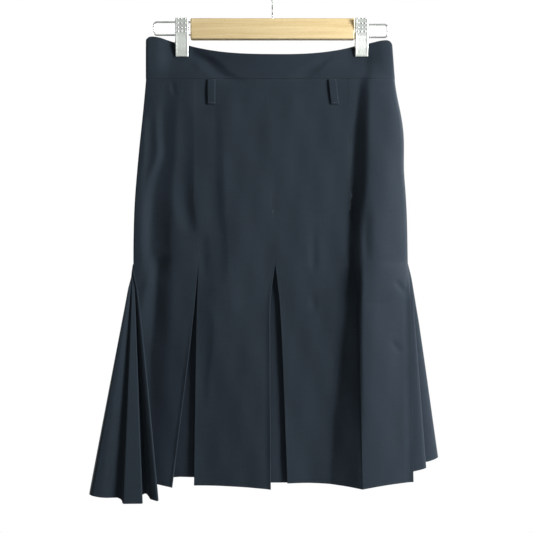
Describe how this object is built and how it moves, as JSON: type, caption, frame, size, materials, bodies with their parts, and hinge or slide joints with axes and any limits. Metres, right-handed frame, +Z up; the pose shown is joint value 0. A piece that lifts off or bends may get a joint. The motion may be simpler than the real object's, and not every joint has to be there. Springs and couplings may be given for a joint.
{
  "type": "pleated midi skirt on a clip hanger",
  "caption": "Knee-length skirt of flared gores with a kick pleat in every seam, a shaped waistband, belt loops and a back zip, hung by clips from a wooden hanger.",
  "frame": {"origin": "inside top of the hanger's hook, where it hangs on a rail", "axes": "+Z up, -Y towards the front of the skirt, +X to the right as seen from the front"},
  "size_m": [0.5119, 0.1341, 0.7842],
  "materials": {
    "cloth": "dark navy worsted, slightly smooth",
    "tape": "dark woven zip tape",
    "steel": "bright plated",
    "wood": "clear satin varnish"
  },
  "bodies": {
    "skirt": {"waistband_front": "cloth", "waistband_back_right": "cloth", "waistband_back_left": "cloth", "front_side_left": "cloth", "front_side_right": "cloth", "front_centre_left": "cloth", "front_centre_right": "cloth", "back_side_left": "cloth", "back_side_right": "cloth", "back_centre_left": "cloth", "back_centre_right": "cloth", "godet_front_left": "cloth", "godet_front_centre": "cloth", "godet_front_right": "cloth", "godet_back_right": "cloth", "godet_back_centre": "cloth", "godet_back_left": "cloth", "godet_side_left": "cloth", "godet_side_right": "cloth", "belt_loop_front_left": "cloth", "belt_loop_front_right": "cloth", "belt_loop_back_right": "cloth", "belt_loop_back_left": "cloth", "zip_tape": "tape", "zip_slider": "steel", "hanger_bar": "wood", "hanger_hook": "steel", "wire_loop_left": "steel", "wire_loop_right": "steel", "clip_front_left": "steel", "clip_front_right": "steel", "clip_back_left": "steel", "clip_back_right": "steel"},
    "zip_pull": {"zip_pull": "steel"}
  },
  "joints": [
    {"name": "zip_pull_hinge", "type": "hinge", "parent": "skirt", "child": "zip_pull", "pos_m": [0, 0.01354, -0.152], "axis": [1, 0, 0], "range_deg": [0, 150]}
  ]
}
